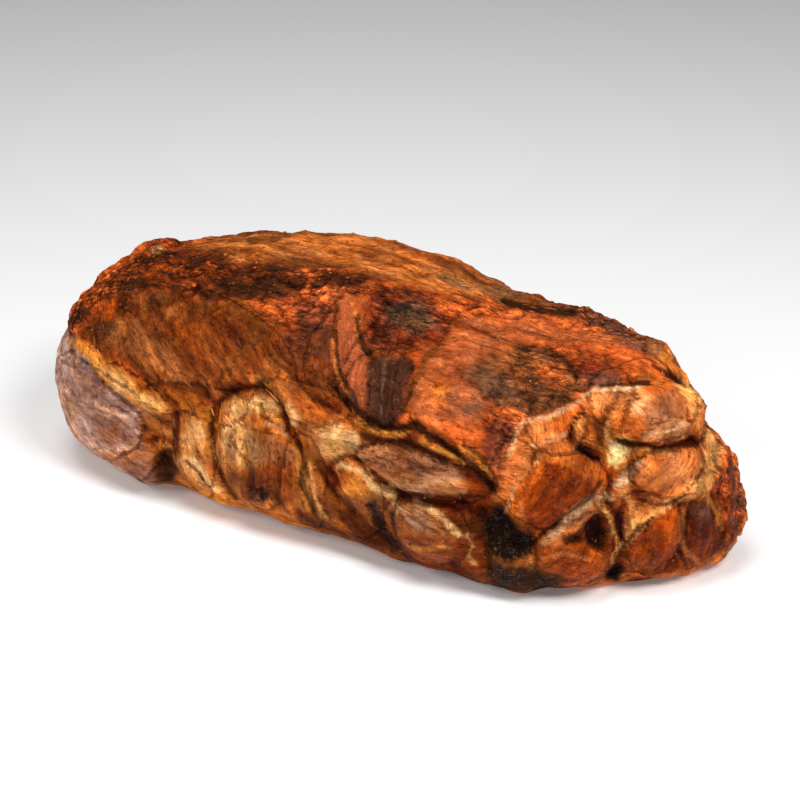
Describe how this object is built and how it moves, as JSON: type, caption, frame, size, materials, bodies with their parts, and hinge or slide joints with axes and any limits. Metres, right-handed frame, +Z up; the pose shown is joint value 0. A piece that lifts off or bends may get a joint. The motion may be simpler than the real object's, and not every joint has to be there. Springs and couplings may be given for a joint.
{
  "type": "roast pork neck",
  "caption": "Whole boneless roast pork neck joint lying on its flat underside, with a browned fat cap, muscle seams along the side and an oblique cut end.",
  "frame": {"origin": "middle of the underside's bounding box, on the surface that the joint rests on", "axes": "+X along the joint from its folded end to its oblique cut end, -Y the near side where the muscle seams show, +Z up"},
  "size_m": [0.2722, 0.121, 0.0903],
  "materials": {
    "roasted_meat": "moist glazed roast crust"
  },
  "bodies": {
    "root": {"pork_neck": "roasted_meat"}
  },
  "joints": []
}
